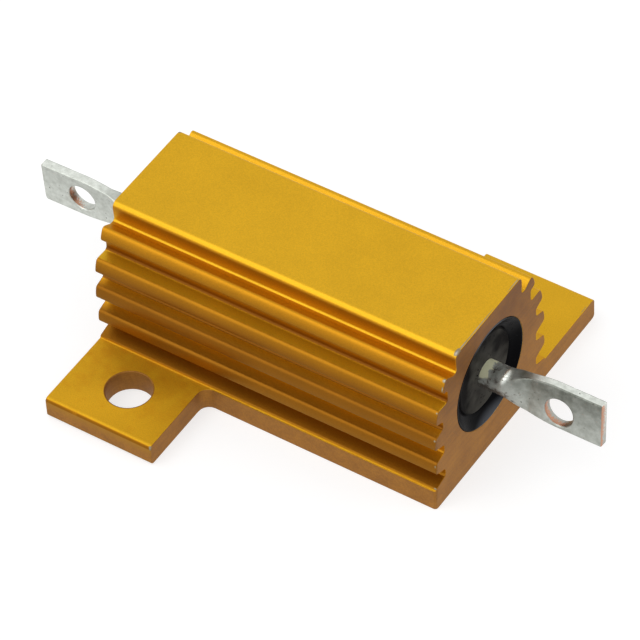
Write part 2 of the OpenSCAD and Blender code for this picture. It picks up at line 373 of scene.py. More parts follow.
def cutAnodised(add, place, grain, patches, ragged):
    # the same alloy sawn, milled or drilled before anodising: the dye takes brown and matt
    split = add("ShaderNodeSeparateXYZ", {}, place).outputs
    sawn = add("ShaderNodeMapping", {
        "Rotation": (math.radians(housing["sawTurn"]), 0, 0), "Scale": (1.0, 0.03, 1.0), "Vector": place})
    strokes = add("ShaderNodeTexNoise", {"Scale": perMm(housing["sawPitch"]), "Vector": sawn})

    # paler towards the base
    upper, lower, most = housing["paler"]
    paler = add("ShaderNodeMapRange", {**between(upper, lower), "To Max": most, "Value": split["Z"]})
    uneven = add("ShaderNodeMath", {"operation": "MULTIPLY_ADD"}, patches, 0.55, paler)
    browned = add("ShaderNodeValToRGB", {"stops": housing["sawnTones"]}, uneven)
    scratched = add("ShaderNodeMath", {"operation": "MULTIPLY_ADD"}, strokes, 0.5, grain)
    streak = add("ShaderNodeValToRGB", {"stops": housing["streakTones"]}, scratched)
    streaked = add("ShaderNodeMix", {
        "data_type": "RGBA", "blend_type": "MULTIPLY", "Factor": 1.0, "A": browned, "B": streak})

    # the tabs' outer edges turn gold towards their tops
    side = add("ShaderNodeMath", {"operation": "ABSOLUTE"}, split["Y"])
    outer = add("ShaderNodeMapRange", {**between(tabReach - 0.12, tabReach - 0.04), "Value": side})
    high = add("ShaderNodeMapRange", {**between(*housing["gildedRise"]), "Value": split["Z"]})
    golden = add("ShaderNodeMath", {"operation": "MULTIPLY"}, outer, high)
    gilded = add("ShaderNodeMix", {
        "data_type": "RGBA", "Factor": golden, "A": streaked, "B": housing["gildedColour"]})
    bare, worn = wornAway(add, place, ragged, 0.8)
    knocked = add("ShaderNodeMix", {
        "data_type": "RGBA", "Factor": bare, "A": gilded, "B": housing["greyedColour"]})
    smoothest, roughest = housing["sawnRoughness"]
    rough = add("ShaderNodeMapRange", {"To Min": smoothest, "To Max": roughest, "Value": grain})
    bump = add("ShaderNodeBump", {"Strength": 0.3, "Distance": housing["relief"] * mm, "Height": strokes})
    return add("ShaderNodeBsdfPrincipled", {
        "Metallic": housing["sawnMetallic"], "Base Color": knocked, "Roughness": rough, "Normal": bump})


def paintedShadeAt(y, z):
    # how much painted shade lies at a point of the section
    for (low, high, reach, rake, groove), dye in zip(housing["fins"], housing["finPaintedShade"]):
        tipLow, tipHigh, upperSide, fillet = dye
        if low - 0.12 < z < high + 0.05 and y > reach - rake - 0.18:
            return tipLow + (tipHigh - tipLow) * max(0, min(1, (z - low) / (high - low)))
        if high - 0.6 < z < high + 0.5 and groove - 0.02 < y < reach:
            return fillet if y < groove + 0.17 else upperSide
    if y > tabReach - 0.12 or z < 0.15:
        return housing["rimPaintedShade"]
    if y > housing["baseSide"] - 0.09 or z > plateTop - 0.3 or z < housing["millTop"] - 0.15:
        return 0
    if z < housing["millTop"] + 0.35:
        return housing["footPaintedShade"]
    if z > plateTop - 1:
        return housing["plateEdgePaintedShade"]
    return housing["neckPaintedShade"] if z > housing["fins"][-1][1] - 0.6 else housing["groovePaintedShade"]


def markPaintedShade(piece):
    # painted shade at every vertex, lighter on the rear rack
    dye = piece.data.attributes.new("dye", "FLOAT", "POINT")
    for vert, value in zip(piece.data.vertices, dye.data):
        share = 1 if vert.co.y < 0 else housing["rearShare"]
        value.value = paintedShadeAt(abs(vert.co.y) / mm, vert.co.z / mm) * share


def easeHoles(piece):
    # the drilled holes' rims are broken wider than the other edges, and take the wall's brown
    middle, radius = Vector((housing["holeX"], housing["holeY"])) * mm, housing["holeRadius"] * mm
    for vert in piece.data.vertices:
        nearest = Vector((math.copysign(middle.x, vert.co.x), math.copysign(middle.y, vert.co.y)))
        out = vert.co.xy - nearest
        if abs(out.length - radius - housing["edgeBreak"] * mm) < 0.01 * mm:
            vert.co.xy += out.normalized() * housing["rimBreak"] * mm
    wide = radius + (housing["edgeBreak"] + housing["rimBreak"] + 0.02) * mm
    for face in piece.data.polygons:
        corners = [piece.data.vertices[i].co for i in face.vertices]
        if all((Vector((abs(c.x), abs(c.y))) - middle).length < wide for c in corners):
            face.material_index = 1


def makeHousing():
    piece = mergedCopy("housing", "finnedHousing")
    piece.data.materials.append(newMaterial(anodisedExtrusion, housing["noises"]))
    piece.data.materials.append(newMaterial(cutAnodised, housing["sawnNoises"]))
    for face in piece.data.polygons:
        x, y, z = (abs(c) / mm for c in face.center)
        sawn = abs(face.normal.x) > 0.02
        besideCut = min(abs(y - side) for side in (housing["baseSide"], tabReach)) < 0.03
        milled = abs(face.normal.y) > 0.99 and besideCut and z < housing["millTop"]
        fromHole = math.hypot(x - housing["holeX"], y - housing["holeY"])
        drilled = fromHole < housing["holeRadius"] + 0.05 and abs(face.normal.z) < 0.5
        face.material_index = int(sawn or milled or drilled)
    breakEdges(piece, housing["edgeBreak"])
    easeHoles(piece)
    markPaintedShade(piece)
    standFor(piece, "housing")


makeHousing()
print("housing done")


# burr along the sawn outline
burr = {
    "step": 0.05,
    "bead": 0.045,
    "bite": 0.42,              # below this tone of the noise nothing stands up
    "raggedSize": 0.45,
    "seed": 3.0,
    "sides": 6,
    "flatShare": 0.55,         # how much is left between corners, at the rear and low down
    "rearShare": 0.6,
    "lowShare": 0.4,
    "colour": "#94897A",
    "noises": {"grain": (0.06, 2, 0.5)},
}


def bareAluminium(add, place, grain):
    # raw aluminium torn up by the saw: bright and uneven
    rough = add("ShaderNodeMapRange", {"To Min": 0.3, "To Max": 0.55, "Value": grain})
    return add("ShaderNodeBsdfPrincipled", {
        "Metallic": 1.0, "Base Color": burr["colour"], "Roughness": rough})


def makeBurrTree(material):
    # a ragged bead of torn metal along an outline
    tree, add, given = newTree("sawBurr", {
        "Outline": "Geometry", "Step": "Float", "Bead": "Float", "Bite": "Float", "Seed": "Float",
        "Sides": "Int"})
    curve = add("GeometryNodeMeshToCurve", {"Mesh": given["Outline"]})
    fine = add("GeometryNodeResampleCurve", {"mode": "LENGTH", "Curve": curve, "Length": given["Step"]})
    place = add("GeometryNodeInputPosition")
    ragged = add("ShaderNodeTexNoise", {
        "noise_dimensions": "4D", "Scale": perMm(burr["raggedSize"]), "Detail": 3.0, "Vector": place,
        "W": given["Seed"]})
    torn = add("ShaderNodeMapRange", {
        "From Max": 0.75, "To Min": 0.06, "Value": ragged, "From Min": given["Bite"]})
    share = add("GeometryNodeInputNamedAttribute", {"Name": "burr"})
    local = add("ShaderNodeMath", {"operation": "MULTIPLY"}, torn, share)
    radius = add("ShaderNodeMath", {"operation": "MULTIPLY"}, local, given["Bead"])
    section = add("GeometryNodeCurvePrimitiveCircle", {"Resolution": given["Sides"]})
    bead = add("GeometryNodeCurveToMesh", {
        "Fill Caps": True, "Curve": fine, "Profile Curve": section, "Scale": radius})
    endTree(add, bead, material)
    return tree


def sawnOutline(side):
    # the outline of one sawn end, sunk by the bead so that it stays inside the housing's box
    source = mergedCopy("housing", "outlineSource")
    shape = bmesh.new()
    shape.from_mesh(source.data)
    bpy.data.objects.remove(source)

    def sawn(face):
        return face.normal.x * side > 0.99 and face.calc_center_median().x * side > (bodyEnd - 0.01) * mm

    def onBore(vert):
        return math.hypot(vert.co.y, vert.co.z - boreHeight * mm) < (boreRadius + 0.1) * mm

    rim = [e for e in shape.edges if len(e.link_faces) == 2 and sum(sawn(f) for f in e.link_faces) == 1]
    rim = [e for e in rim if not any(onBore(v) for v in e.verts)]
    numbers = {v: i for i, v in enumerate(dict.fromkeys(v for e in rim for v in e.verts))}
    places, shares = [], []
    for vert in numbers:
        walls = [f.normal for f in vert.link_faces if not sawn(f)]
        outward = sum(walls, Vector()).normalized()
        sunk = outward * burr["bead"] + Vector((side, 0, 0)) * burr["bead"] * 0.6
        places.append(vert.co - sunk * mm)
        corner = 1 if min(a.dot(b) for a in walls for b in walls) < 0.97 else burr["flatShare"]
        rear = 1 if vert.co.y < 0 else burr["rearShare"]
        shares.append(corner * rear * (1 if vert.co.z > 1.9 * mm else burr["lowShare"]))
    mesh = bpy.data.meshes.new("sawnOutline")
    mesh.from_pydata(places, [[numbers[v] for v in e.verts] for e in rim], [])
    mesh.attributes.new("burr", "FLOAT", "POINT").data.foreach_set("value", shares)
    shape.free()
    return mesh


def makeBurrs():
    tree = makeBurrTree(newMaterial(bareAluminium, burr["noises"]))
    for name, side in (("leftSawBurr", -1), ("rightSawBurr", 1)):
        piece = newPiece(name, sawnOutline(side))
        runTree(piece, tree, {"Step": burr["step"] * mm, "Bead": burr["bead"] * mm, "Bite": burr["bite"],
                              "Seed": burr["seed"] * side, "Sides": burr["sides"]})
        piece.data.shade_smooth()
        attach(piece, "root")


makeBurrs()
print("burrs done")


# moulding
moulding = {
    "segments": 128,
    "floorRadius": 3.1,
    "dishDepth": 0.5,
    "rim": 0.12,
    "lipHeight": 0.05,
    "grooveDepth": 0.10,
    "meniscus": 0.16,
    "unevenness": 0.02,
    "wireClearance": 0.05,
    "dustTones": ((0.4, "#12100F"), (0.66, "#45433E")),
    "wallColour": "#050507",
    "paintedWallReflectionColour": "#55585D",
    "paintedWallReflection": (3.35, 4.1),     # painted reflection: distance above or below the axis where the wall turns grey
    "pitColour": "#0A0A0A",
    "pitSize": 0.35,
    "noises": {"clouds": (2.2, 4, 0.5), "grain": (0.08, 2, 0.5), "chosen": (0.8, 2, 0.5)},
    "pitEdge": (0.22, 0.12),
    "fewPits": (0.52, 0.6),
    "settled": (3, 0.14, -0.02),  # dust this far below the axis, and this far above it
    "paintedDiscShadow": (-2.6, -0.8, -0.2),  # painted shadow: less dust towards the front, so the disc darkens there
    "wallFade": 0.1,
    "discRoughness": 0.62,
    "wallRoughness": 0.3,
}


def mouldedEpoxy(add, place, clouds, grain, chosen):
    # epoxy moulding compound: matt and dusty on the disc with a painted shadow at its front, wiped glossy on
    # the dish wall with painted reflections at its top and bottom, with air pits
    split = add("ShaderNodeSeparateXYZ", {}, place).outputs
    far, dustLow, dustHigh = moulding["settled"]
    settled = add("ShaderNodeMapRange", {
        **between(boreHeight - far, boreHeight + far), "To Min": dustLow, "To Max": dustHigh,
        "Value": split["Z"]})
    front, back, less = moulding["paintedDiscShadow"]
    paintedDiscShadow = add("ShaderNodeMapRange", {
        **between(front, back), "To Min": less, "To Max": 0.0, "Value": split["Y"]})
    upright = add("ShaderNodeMath", {"operation": "ADD"}, clouds, settled)
    dustAndShadow = add("ShaderNodeMath", {"operation": "ADD"}, upright, paintedDiscShadow)
    dustAndShadowTone = add("ShaderNodeValToRGB", {"stops": moulding["dustTones"]}, dustAndShadow)
    cells = add("ShaderNodeTexVoronoi", {"Scale": perMm(moulding["pitSize"]), "Vector": place})
    nearPit = add("ShaderNodeMapRange", {**between(*moulding["pitEdge"], 1), "Value": cells})
    fewPits = add("ShaderNodeMapRange", {**between(*moulding["fewPits"], 1), "Value": chosen})
    pits = add("ShaderNodeMath", {"operation": "MULTIPLY"}, nearPit, fewPits)
    disc = add("ShaderNodeMix", {"data_type": "RGBA", "Factor": pits, "A": dustAndShadowTone, "B": moulding["pitColour"]})

    # distance from the axis tells the dusty disc from the wiped wall
    across = add("ShaderNodeCombineXYZ", {"Y": split["Y"], "Z": split["Z"]})
    out = add("ShaderNodeVectorMath", {"operation": "DISTANCE"}, across, (0, 0, boreHeight * mm))
    floorRadius, fade = moulding["floorRadius"], moulding["wallFade"]
    onWall = add("ShaderNodeMapRange", {
        **between(floorRadius - fade, floorRadius + fade), "Value": out.outputs["Value"]})
    # painted reflection: the wall turns grey at its top and bottom
    height = add("ShaderNodeMath", {"operation": "SUBTRACT"}, split["Z"], boreHeight * mm)
    upDown = add("ShaderNodeMath", {"operation": "ABSOLUTE"}, height)
    paintedWallReflection = add("ShaderNodeMapRange", {
        "interpolation_type": "SMOOTHSTEP", **between(*moulding["paintedWallReflection"]), "Value": upDown})
    wall = add("ShaderNodeMix", {
        "data_type": "RGBA", "Factor": paintedWallReflection, "A": moulding["wallColour"], "B": moulding["paintedWallReflectionColour"]})
    surface = add("ShaderNodeMix", {"data_type": "RGBA", "Factor": onWall, "A": disc, "B": wall})
    rough = add("ShaderNodeMapRange", {
        "To Min": moulding["discRoughness"], "To Max": moulding["wallRoughness"], "Value": onWall})
    pitted = add("ShaderNodeMath", {"operation": "MULTIPLY_ADD"}, pits, -3.0, grain)
    bump = add("ShaderNodeBump", {"Strength": 0.5, "Distance": 0.02 * mm, "Height": pitted})
    return add("ShaderNodeBsdfPrincipled", {
        "IOR": 1.55, "Specular IOR Level": 0.02, "Base Color": surface, "Roughness": rough, "Normal": bump})


def dishProfile(leadRadius):
    # one dished end as (x, radius), from the bore's wall inwards to the lead
    end, floor = bodyEnd, bodyEnd - moulding["dishDepth"]
    lip, rim = moulding["floorRadius"], boreRadius - moulding["rim"]
    groove, rise = floor - moulding["grooveDepth"], moulding["lipHeight"]
    points = [(end - 0.04, boreRadius), (end, boreRadius - 0.04), (end, rim)]
    points += [(floor + moulding["dishDepth"] * (1 - t) ** 1.25, lip + 0.12 + (rim - lip - 0.12) * (1 - t))
               for t in (0.03, 0.1, 0.2, 0.35, 0.5, 0.65, 0.8, 0.9)]
    points += [(groove + 0.03, lip + 0.1), (groove, lip + 0.06), (groove + 0.02, lip + 0.02)]
    points += [(floor + rise * share, lip - inwards)
               for share, inwards in ((0.6, 0.02), (1, 0.07), (0.5, 0.16), (0, 0.3))]
    points += [(floor, lip + (leadRadius + 0.35 - lip) * t) for t in (0.3, 0.55, 0.8, 1.0)]
    points += [(floor + moulding["meniscus"] * t ** 2, leadRadius + 0.35 * (1 - t))
               for t in (0.4, 0.7, 0.9, 1.0)]
    return points


def makeMoulding():
    leadRadius = terminal["leadRadius"]
    wireLow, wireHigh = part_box("winding")
    wireSpace = (wireHigh.z - wireLow.z) / 2 / mm + moulding["wireClearance"]
    capEnd, wireEnd = capHigh.x / mm, wireHigh.x / mm + moulding["wireClearance"]
    landing = capLow.x / mm - winding["wire"] / 2 - winding["pitch"] / 3
    coreSpace = wireSpace - (capRadius - coreRadius)
    right = [(0, boreRadius)] + dishProfile(leadRadius)
    right += [(capEnd, leadRadius), (capEnd, capRadius), (wireEnd, capRadius), (wireEnd, wireSpace),
              (landing, wireSpace), (landing, coreSpace)]
    rings = []
    for x, radius in right + [(-x, r) for x, r in reversed(right[1:])]:
        uneven = radius < boreRadius - moulding["rim"] - 0.01 and abs(x) > bodyEnd - 1
        ring = []
        for i in range(moulding["segments"]):
            angle = 2 * math.pi * i / moulding["segments"]
            y, z = radius * math.cos(angle), radius * math.sin(angle)
            wave = noise.noise(Vector((x, y, z)) * 0.9) * moulding["unevenness"] * uneven
            ring.append(((x + wave) * mm, y * mm, (boreHeight + z) * mm))
        rings.append(ring)
    piece = newPiece("dishedMoulding", ringMesh("moulding", rings, closed=True))
    piece.data.materials.append(newMaterial(mouldedEpoxy, moulding["noises"]))
    smoothOver(piece, 60)
    standFor(piece, "moulding")


# winding, rod and caps
winding = {"wire": 0.5, "pitch": 1.4, "landing": 1.0, "sides": 16, "perTurn": 40}
element = {
    # darker and lighter tone, metallic, roughness, grain's size and height
    "firedCeramic": ("#DAD7CB", "#EFEDE4", 0.0, 0.55, 0.3, 0.01),
    "drawnNichrome": ("#837F78", "#A5A19A", 1.0, 0.34, 0.1, 0.004),
    "pressedSteel": ("#9C9C97", "#BDBDB8", 1.0, 0.36, 0.25, 0.008),
}


def makeInner(name):
    # fired ceramic, drawn wire and pressed steel differ by their tone, sheen and grain
    darker, lighter, metallic, roughness, grainSize, relief = element[name]

    def inner(add, place, grain):
        tone = add("ShaderNodeValToRGB", {"stops": ((0.35, darker), (0.65, lighter))}, grain)
        rough = add("ShaderNodeMapRange", {
            "To Min": roughness - 0.08, "To Max": roughness + 0.08, "Value": grain})
        bump = add("ShaderNodeBump", {"Strength": 0.4, "Distance": relief * mm, "Height": grain})
        return add("ShaderNodeBsdfPrincipled", {
            "Metallic": metallic, "Base Color": tone, "Roughness": rough, "Normal": bump})

    return newMaterial(inner, {"grain": (grainSize, 4, 0.5)}, name)


def makeWireTree(material):
    # a wire wound on a rod: a helix whose radius steps up onto the caps near its ends
    sizes = ("Rod", "Pitch", "Climb", "Climb Start", "Climb End", "Height", "Wire")
    tree, add, given = newTree("woundWire", {
        "Line": "Geometry", **dict.fromkeys(sizes, "Float"), "Sides": "Int", "Points": "Int"})
    curve = add("GeometryNodeMeshToCurve", {"Mesh": given["Line"]})
    fine = add("GeometryNodeResampleCurve", {"mode": "COUNT", "Curve": curve, "Count": given["Points"]})
    place = add("GeometryNodeInputPosition")
    alongX = add("ShaderNodeSeparateXYZ", {}, place).outputs["X"]
    turns = add("ShaderNodeMath", {"operation": "DIVIDE"}, alongX, given["Pitch"])
    angle = add("ShaderNodeMath", {"operation": "MULTIPLY"}, turns, math.tau)
    fromMiddle = add("ShaderNodeMath", {"operation": "ABSOLUTE"}, alongX)
    climbed = add("ShaderNodeMapRange", {
        "interpolation_type": "SMOOTHSTEP", "From Min": given["Climb Start"], "From Max": given["Climb End"],
        "To Max": given["Climb"], "Value": fromMiddle})
    radius = add("ShaderNodeMath", {"operation": "ADD"}, given["Rod"], climbed)
    across = add("ShaderNodeMath", {"operation": "COSINE"}, angle)
    upward = add("ShaderNodeMath", {"operation": "SINE"}, angle)
    y = add("ShaderNodeMath", {"operation": "MULTIPLY"}, radius, across)
    z = add("ShaderNodeMath", {"operation": "MULTIPLY_ADD"}, radius, upward, given["Height"])
    wound = add("ShaderNodeCombineXYZ", {"X": alongX, "Y": y, "Z": z})
    moved = add("GeometryNodeSetPosition", {"Geometry": fine, "Position": wound})
    section = add("GeometryNodeCurvePrimitiveCircle", {
        "Resolution": given["Sides"], "Radius": given["Wire"]})
    tube = add("GeometryNodeCurveToMesh", {"Fill Caps": True, "Curve": moved, "Profile Curve": section})
    endTree(add, tube, material)
    return tree


def makeElement():
    ceramic, steel = makeInner("firedCeramic"), makeInner("pressedSteel")
    for node, name, material, slot in (("ceramic_core", "ceramicRod", ceramic, "ceramic"),
                                       ("end_cap_left", "leftCap", steel, "pressed_steel"),
                                       ("end_cap_right", "rightCap", steel, "pressed_steel")):
        piece = mergedCopy(node, name)
        piece.data.materials.append(material)
        breakEdges(piece, 0.12)
        standFor(piece, node)

    wireRadius, pitch = winding["wire"] / 2 * mm, winding["pitch"] * mm
    end, climbEnd = capLow.x + winding["landing"] * mm, capLow.x - wireRadius
    line = bpy.data.meshes.new("wireLine")
    line.from_pydata([(-end, 0, 0), (end, 0, 0)], [(0, 1)], [])
    piece = newPiece("woundWire", line)
    runTree(piece, makeWireTree(makeInner("drawnNichrome")), {
        "Rod": coreRadius * mm + wireRadius, "Pitch": pitch, "Climb": (capRadius - coreRadius) * mm,
        "Climb Start": climbEnd - pitch / 3, "Climb End": climbEnd, "Height": boreHeight * mm,
        "Wire": wireRadius, "Sides": winding["sides"],
        "Points": round(2 * end / pitch * winding["perTurn"])})
    smoothOver(piece, 60)
    standFor(piece, "winding")


# terminals
terminal = {
    "leadRadius": 1.0,
    "thickness": 0.7,
    "width": 3.46,
    "flareShare": 0.32,        # share of the widening that comes after the press
    "parallel": 3.4,
    "flare": 2.0,
    "press": 2.2,
    "eyeRadius": 1.06,
    "edgeRound": 0.10,
    "endRound": 0.07,
    "frontLip": 0.14,
    "backLip": 0.05,
    "step": 0.1,
    "ripple": 0.010,
    "drop": (1.15, 22, 0.75, 50, 0.22),  # a drop of solder's place and turn, its half sizes and height
    "wideSpans": 12,
    "thinSpans": 4,
    "arcSpans": 5,
    "eyeSpans": 64,
    "tinTones": ((0.32, "#C6CAC2"), (0.62, "#E4E8E1")),
    "speck": "#55564E",
    "tarnish": "#50534A",
    # dark brown of the scorch specks and of the painted shade under the lead
    "scorchAndShade": "#3E2F24",
    "flux": "#D8D7B4",
    "copper": "#C08A6C",
    "noises": {"mottle": (0.4, 5, 0.65), "fine": (0.12, 3, 0.5), "clouds": (0.9, 5, 0.6)},
    "drossSize": 0.5,
    "roughness": (0.3, 0.5),
    "soldered": -0.2,          # how much smoother fresh solder is
    "dulled": 0.6,             # how far the lead has lost its metal shine round the joint
}
bladeTrims = {
    # hand trimming of each blade: lean to the rear, droop, how low the eye was punched, slope of the
    # sheared end, where copper shows in the eye, and whether solder and flux stand at its root
    "left": {"side": -1, "lean": -2.2, "droop": 1.2, "eyeOffset": 3.27, "eyeDrop": 0.05, "slope": -1.3,
             "corner": 0.30, "tarnish": 0.42, "joint": 0, "copperTurn": 10},
    "right": {"side": 1, "lean": 7.5, "droop": 0.0, "eyeOffset": 3.26, "eyeDrop": 0.38, "slope": -3.0,
              "corner": 0.06, "tarnish": 0.93, "joint": 1, "copperTurn": 215},
}
# from 0 to 1 at each vertex
bladeMarks = ("punched", "fluxed", "tarnished", "scorched", "soldered", "dulled")


def tinnedCopper(add, place, mottle, fine, clouds):
    # copper lead hot-dipped in tin: dull, mottled, with dross specks, and raw copper where it was punched
    marks = {name: add("ShaderNodeAttribute", {"attribute_name": name}).outputs["Fac"]
             for name in bladeMarks}
    tin = add("ShaderNodeValToRGB", {"stops": terminal["tinTones"]}, mottle)
    dross = add("ShaderNodeTexVoronoi", {"Scale": perMm(terminal["drossSize"]), "Vector": place})
    dotted = add("ShaderNodeMapRange", {"From Min": 0.2, "From Max": 0.1, "Value": dross})
    some = add("ShaderNodeMapRange", {"From Min": 0.5, "From Max": 0.62, "Value": mottle})
    specks = add("ShaderNodeMath", {"operation": "MULTIPLY"}, dotted, some)
    # the tin has gone grey in clouds, more on the right blade and towards the blade's top, with a painted
    # highlight where the top edge is left clean
    cloudy = add("ShaderNodeMapRange", {"From Min": 0.3, "From Max": 0.68, "To Min": 0.72, "Value": clouds})
    grey = add("ShaderNodeMath", {"operation": "MULTIPLY"}, marks["tarnished"], cloudy)
    # scorched round the solder joint with painted shade browning the underside, flux dried on it, and copper
    # bared by the punch, all with ragged edges
    shares = []
    for mark, pattern, weight, low, high, most in (("scorched", mottle, 0.5, 0.66, 0.84, 0.85),
                                                   ("fluxed", mottle, 0.6, 0.88, 0.98, 0.9),
                                                   ("punched", fine, 0.5, 0.66, 0.9, 0.9)):
        ragged = add("ShaderNodeMath", {"operation": "MULTIPLY_ADD"}, marks[mark], weight, pattern)
        shares.append(add("ShaderNodeValToRGB", {"stops": ((low, 0.0), (high, most))}, ragged))
    scorchAndShade, crust, bared = shares
    surface = tin
    for share, layer in ((specks, "speck"), (grey, "tarnish"), (scorchAndShade, "scorchAndShade"), (crust, "flux"),
                         (bared, "copper")):
        surface = add("ShaderNodeMix", {
            "data_type": "RGBA", "Factor": share, "A": surface, "B": terminal[layer]})

    smoothest, roughest = terminal["roughness"]
    dull = add("ShaderNodeMapRange", {"To Min": smoothest, "To Max": roughest, "Value": mottle})
    rough = add("ShaderNodeMath", {
        "operation": "MULTIPLY_ADD"}, marks["soldered"], terminal["soldered"], dull)
    matt = add("ShaderNodeMath", {"operation": "MULTIPLY_ADD"}, marks["dulled"], terminal["dulled"], crust)
    metal = add("ShaderNodeMath", {"operation": "SUBTRACT", "use_clamp": True}, 1.0, matt)
    mottled = add("ShaderNodeBump", {"Strength": 0.35, "Distance": 0.03 * mm, "Height": mottle})
    grained = add("ShaderNodeBump", {
        "Strength": 0.25, "Distance": 0.01 * mm, "Height": fine, "Normal": mottled})
    return add("ShaderNodeBsdfPrincipled", {
        "Base Color": surface, "Metallic": metal, "Roughness": rough, "Normal": grained})


def barSection(halfThin, halfWide, radius):
    # points (y, z) round a flat bar with rounded corners
    inY, inZ = halfThin - radius, halfWide - radius
    middles = [(inY, inZ), (-inY, inZ), (-inY, -inZ), (inY, -inZ)]
    points = []
    for quarter, (y, z) in enumerate(middles):
        turn = quarter * 90 + 90
        arc = arcPoints(y, z, radius, turn - 90, turn, terminal["arcSpans"])
        lastY, lastZ = arc[-1]
        nextY, nextZ = arcPoints(*middles[(quarter + 1) % 4], radius, turn, 0, 1)[0]
        spans = terminal["thinSpans"] if quarter % 2 == 0 else terminal["wideSpans"]
        points += arc
        points += [(lastY + (nextY - lastY) * i / spans, lastZ + (nextZ - lastZ) * i / spans)
                   for i in range(1, spans)]
    return points


def terminalSection(x, inset, sizes):
    # round lead before the press, flat blade after it, and a blend of the two between
    lead, thin, wide = terminal["leadRadius"], terminal["thickness"] / 2, terminal["width"] / 2
    pressed = wide - (wide - lead) * terminal["flareShare"]
    share = max(0, min(1, (x - sizes["pressStart"]) / terminal["press"]))
    flared = math.sin(math.pi / 2 * max(0, min(1, (x - sizes["pressEnd"]) / terminal["flare"])))
    halfWide = lead + (pressed - lead) * share + (wide - pressed) * flared - inset
    halfThin = lead + (thin - lead) * ease(share, 0, 1) - inset
    bar = barSection(halfThin, halfWide, min(terminal["edgeRound"], halfThin * 0.9))
    flatness = ease(share, 0, 0.9)
    first = terminal["arcSpans"] + terminal["thinSpans"] / 2
    points = []
    for i, (y, z) in enumerate(bar):
        angle = math.pi / 2 + (i - first) / len(bar) * math.tau
        roundY, roundZ = halfThin * math.cos(angle), halfWide * math.sin(angle)
        points.append((roundY + (y - roundY) * flatness, roundZ + (z - roundZ) * flatness))
    return points


def terminalStations(sizes):
    # where the sections stand along the lead, with how far each is drawn in
    end, roundOff, first = sizes["bladeEnd"], terminal["endRound"], bodyEnd - 1.1
    run = end - roundOff - first
    count = round(run / terminal["step"])
    stations = [(sizes["start"], 0), (bodyEnd - 1.2, 0)]
    stations += [(first + run * i / count, 0) for i in range(count + 1)]
    stations += [(end - roundOff * (1 - math.sin(t)), roundOff * (1 - math.cos(t)))
                 for t in (math.radians(a) for a in (25, 50, 72, 90))]
    return stations


def shearedShift(x, z, trim, sizes):
    # the end is sheared at a slope, and its lower corner is a little rounded
    half, corner = terminal["width"] / 2, trim["corner"]
    share = ease(x, sizes["bladeEnd"] - 1.2, sizes["bladeEnd"])
    depth = min(corner, max(0, -z - (half - corner)))
    sloped = z * math.tan(math.radians(trim["slope"]))
    return (sloped - (corner - math.sqrt(corner ** 2 - depth ** 2))) * share


def solderDrop(x, y, z):
    # solder left standing on the lead beside the moulding: its height where the lead faces (y, z)
    dropX, dropTurn, halfLong, halfWide, height = terminal["drop"]
    turn = math.degrees(math.atan2(-y, z)) - dropTurn
    along, around = (x - bodyEnd - dropX) / halfLong, turn / halfWide
    return height * max(0, 1 - along ** 2 - around ** 2) ** 1.5


def loftTerminal(trim, sizes):
    side, ripple = trim["side"], terminal["ripple"]
    rings = []
    for x, inset in terminalStations(sizes):
        ring = []
        for y, z in terminalSection(x, inset, sizes):
            wave = noise.noise(Vector((x * 0.8 + side * 9, y, z)) * 1.1) * ripple
            wave += noise.noise(Vector((x + side * 5, y, z)) * 3.1) * ripple * 0.4
            reach = math.hypot(y, z)
            wave += solderDrop(x, y / reach, z / reach) * trim["joint"]
            y, z = y * (1 + wave / reach), z * (1 + wave / reach)
            ring.append((x + shearedShift(x, z, trim, sizes), y, z))
        rings.append(ring)
    return ringMesh("terminal", rings)


def eyePunch(trim, sizes):
    # a punch flared at both faces, so that the hole's lips come out rounded
    half = terminal["thickness"] / 2
    profile = []
    for lip, way in ((terminal["frontLip"], -1), (terminal["backLip"], 1)):
        flare = [(terminal["eyeRadius"] + lip * (1 - math.cos(t)), half - lip + lip * math.sin(t))
                 for t in (math.radians(a) for a in (0, 20, 40, 58, 74))]
        flare += [(flare[-1][0] + 0.06, half + 0.02), (flare[-1][0] + 0.06, half + 0.4)]
        flare = [(radius, y * way) for radius, y in flare]
        profile += flare[::way]
    x, z = sizes["bladeEnd"] - trim["eyeOffset"], -trim["eyeDrop"]
    return ringMesh("eyePunch", [
        [(px, y, pz) for px, pz in arcPoints(x, z, radius, 0, 360, terminal["eyeSpans"])[:-1]]
        for radius, y in profile])


def bend(point, trim, sizes):
    # lean and droop grow along the pressed stretch, and the blade runs straight after it
    x, y, z = point
    share = max(0, min(1, (x - sizes["pressStart"]) / terminal["press"]))
    lean, droop = math.radians(trim["lean"] * share), math.radians(trim["droop"] * share)
    y, z = y * math.cos(lean) + z * math.sin(lean), z * math.cos(lean) - y * math.sin(lean)
    run = max(0, x - sizes["pressStart"])
    along = min(x, sizes["pressStart"]) + run * math.cos(droop) + z * math.sin(droop)
    return Vector((along * trim["side"], y, boreHeight - run * math.sin(droop) + z * math.cos(droop))) * mm


